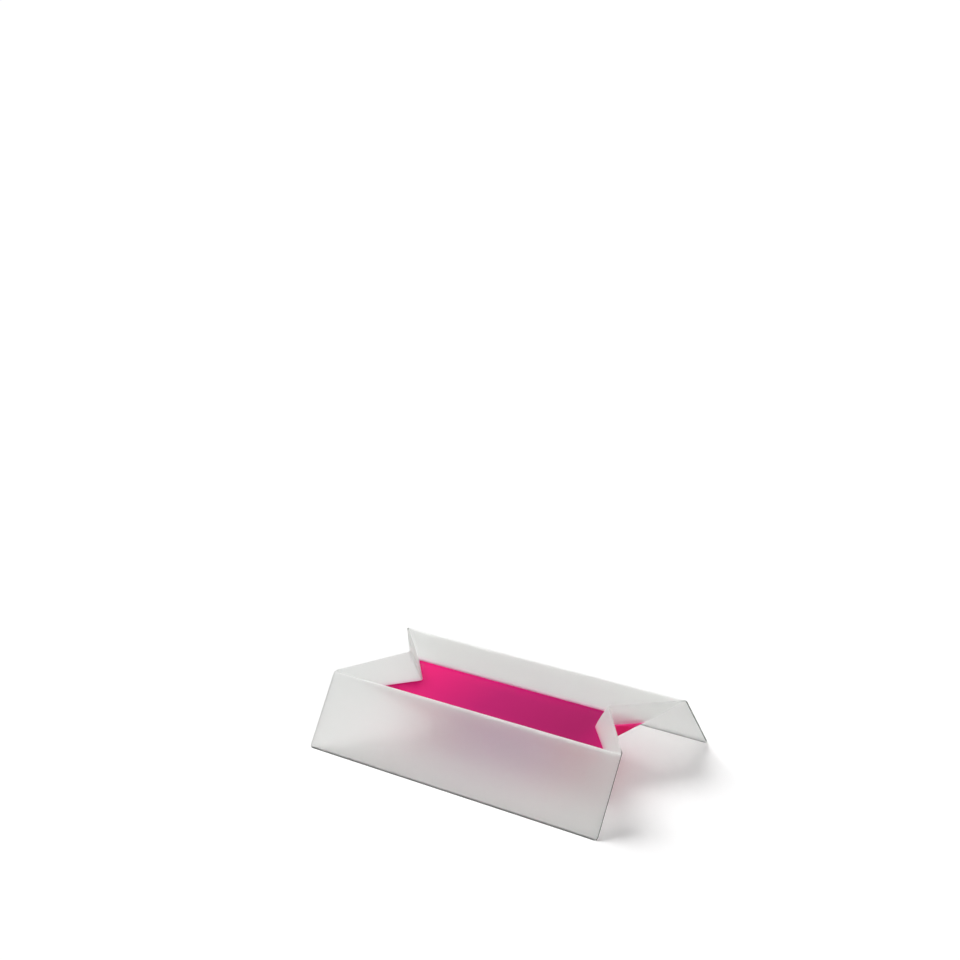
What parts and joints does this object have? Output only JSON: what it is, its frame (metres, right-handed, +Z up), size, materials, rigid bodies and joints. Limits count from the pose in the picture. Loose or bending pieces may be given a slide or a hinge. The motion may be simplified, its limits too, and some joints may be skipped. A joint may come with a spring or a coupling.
{
  "type": "reagent reservoir",
  "caption": "Frosted plastic sheet folded into a W-shaped reagent reservoir: a trough between two splayed legs, closed by folded gussets and part filled with pink reagent.",
  "frame": {"origin": "middle of the footprint, on the surface that the two feet stand on", "axes": "+X along the ridges and the trough, +Y across them towards the back leg, +Z up"},
  "size_m": [0.12, 0.0764, 0.0266],
  "materials": {
    "frosted_sheet": "milky translucent sheet, fine satin face, thin bright creases",
    "pink_reagent": "clear magenta liquid with a flat glossy surface"
  },
  "bodies": {
    "root": {"folded_sheet": "frosted_sheet", "reagent": "pink_reagent"}
  },
  "joints": []
}
